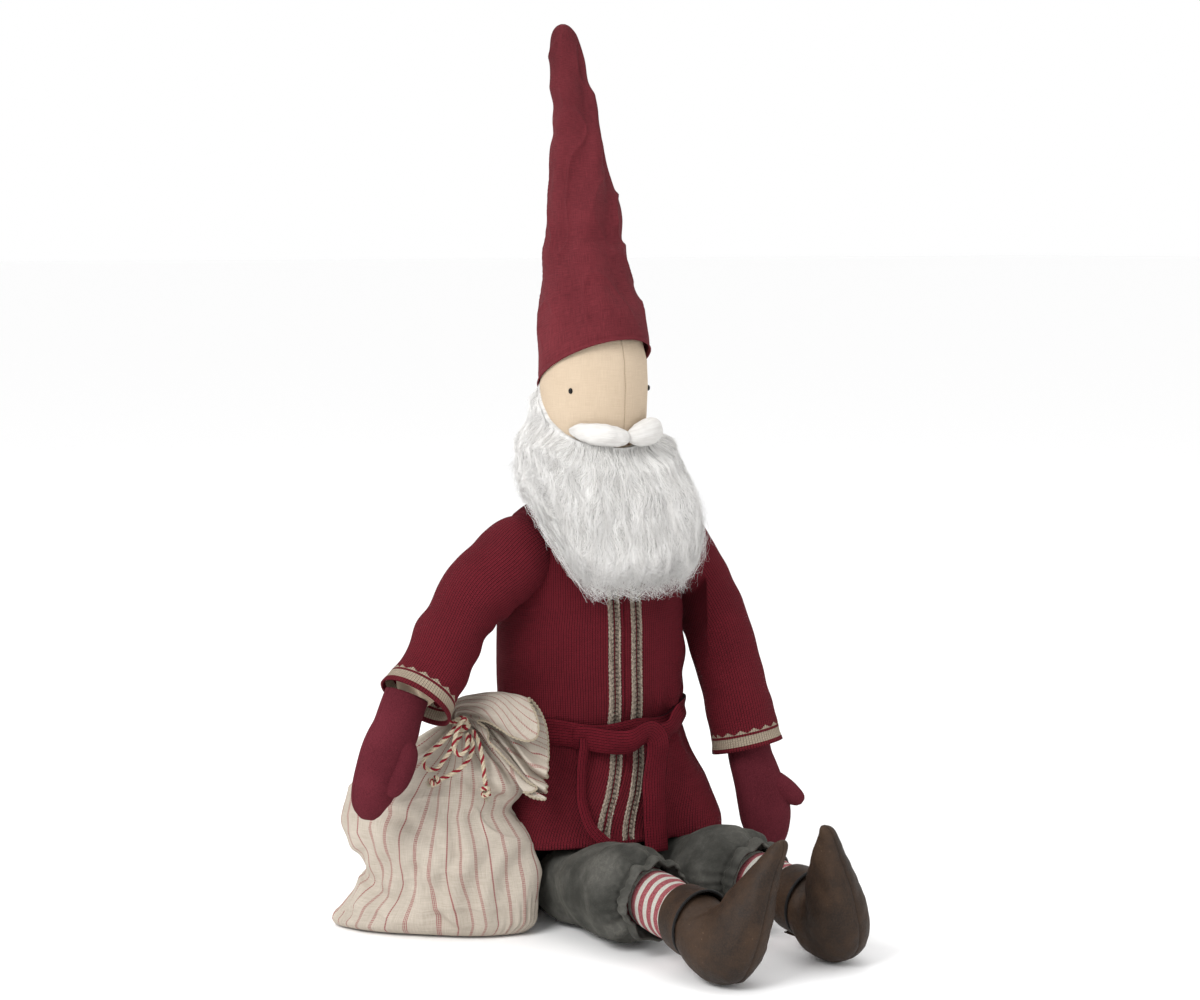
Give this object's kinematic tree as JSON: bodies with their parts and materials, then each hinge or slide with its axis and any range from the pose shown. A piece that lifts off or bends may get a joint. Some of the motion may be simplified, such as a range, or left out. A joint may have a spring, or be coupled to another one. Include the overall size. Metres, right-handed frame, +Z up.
{
  "type": "tomte gnome figurine",
  "caption": "Seated cloth gnome doll with tall pointed hat, wool beard, knitted belted coat, mittens and curled-toe shoes, beside a tied cloth sack.",
  "frame": {"origin": "middle of the seat's flat underside, on the floor", "axes": "+Z up, -Y the way the doll faces, +X to the doll's left"},
  "size_m": [0.4785, 0.4401, 0.885],
  "materials": {
    "calico": "unbleached cotton, plain weave",
    "stuffing": "loose fibre filling",
    "pellets": "cloth bag of plastic pellets",
    "coat_knit": "burgundy stocking knit, soft and fuzzy",
    "belt_knit": "burgundy knit band",
    "band_wool": "grey-beige marled crochet band",
    "hat_linen": "washed burgundy linen, creased",
    "mitten_felt": "burgundy felt",
    "velvet": "washed olive-grey velvet",
    "sock": "red and off-white striped jersey",
    "leather": "brown suede-like leatherette, soft sheen",
    "cuff_felt": "dark brown felt",
    "wool": "combed white wool",
    "bead": "black bead",
    "thread": "brown sewing thread",
    "sack_linen": "beige linen with dotted red woven stripes",
    "cord": "twisted red and cream cord"
  },
  "bodies": {
    "doll": {"torso_cloth": "calico", "torso_filling": "stuffing", "pellet_bag": "pellets", "trouser_seat": "velvet", "coat_back": "coat_knit", "coat_front_left": "coat_knit", "coat_front_right": "coat_knit", "front_band_left": "band_wool", "front_band_right": "band_wool", "belt_band": "belt_knit", "belt_knot": "belt_knit", "belt_tail_wide": "belt_knit", "belt_tail_thin": "belt_knit"},
    "head": {"head_cloth": "calico", "head_filling": "stuffing", "eye_left": "bead", "eye_right": "bead", "mouth_stitch": "thread", "moustache_left": "wool", "moustache_right": "wool", "beard": "wool"},
    "cap": {"hat": "hat_linen", "hat_filling": "stuffing"},
    "left_arm": {"sleeve_left": "coat_knit", "arm_left": "calico", "mitten_left": "mitten_felt"},
    "right_arm": {"sleeve_right": "coat_knit", "arm_right": "calico", "mitten_right": "mitten_felt"},
    "left_leg": {"trouser_leg_left": "velvet", "leg_left": "sock", "ankle_cuff_left": "cuff_felt", "shoe_left": "leather"},
    "right_leg": {"trouser_leg_right": "velvet", "leg_right": "sock", "ankle_cuff_right": "cuff_felt", "shoe_right": "leather"},
    "bag": {"sack_cloth": "sack_linen", "sack_filling": "stuffing", "drawcord_wrap": "cord", "drawcord_knot": "cord", "drawcord_loop_big": "cord", "drawcord_loop_small": "cord", "drawcord_tail_left": "cord", "drawcord_tail_right": "cord", "tail_knot_left": "cord", "tail_knot_right": "cord"}
  },
  "joints": [
    {"name": "neck_turn", "type": "hinge", "parent": "doll", "child": "head", "pos_m": [0, -0.04, 0.414], "axis": [0, 0, 1], "range_deg": [-10, 10]},
    {"name": "hat_pull_off", "type": "slide", "parent": "head", "child": "cap", "axis": [0, 0, 1], "range_m": [0, 0.09]},
    {"name": "shoulder_right_swing", "type": "hinge", "parent": "doll", "child": "right_arm", "pos_m": [-0.099, -0.04, 0.357], "axis": [1, 0, 0], "range_deg": [-75, 0]},
    {"name": "shoulder_left_swing", "type": "hinge", "parent": "doll", "child": "left_arm", "pos_m": [0.099, -0.04, 0.357], "axis": [1, 0, 0], "range_deg": [-75, 12]},
    {"name": "hip_right_swing", "type": "hinge", "parent": "doll", "child": "right_leg", "pos_m": [-0.055, -0.07, 0.0365], "axis": [1, 0, 0], "range_deg": [0, 85]},
    {"name": "hip_left_swing", "type": "hinge", "parent": "doll", "child": "left_leg", "pos_m": [0.055, -0.07, 0.0365], "axis": [1, 0, 0], "range_deg": [0, 85]},
    {"name": "sack_lift", "type": "slide", "parent": "doll", "child": "bag", "axis": [0, 0, 1], "range_m": [0, 0.006]}
  ]
}
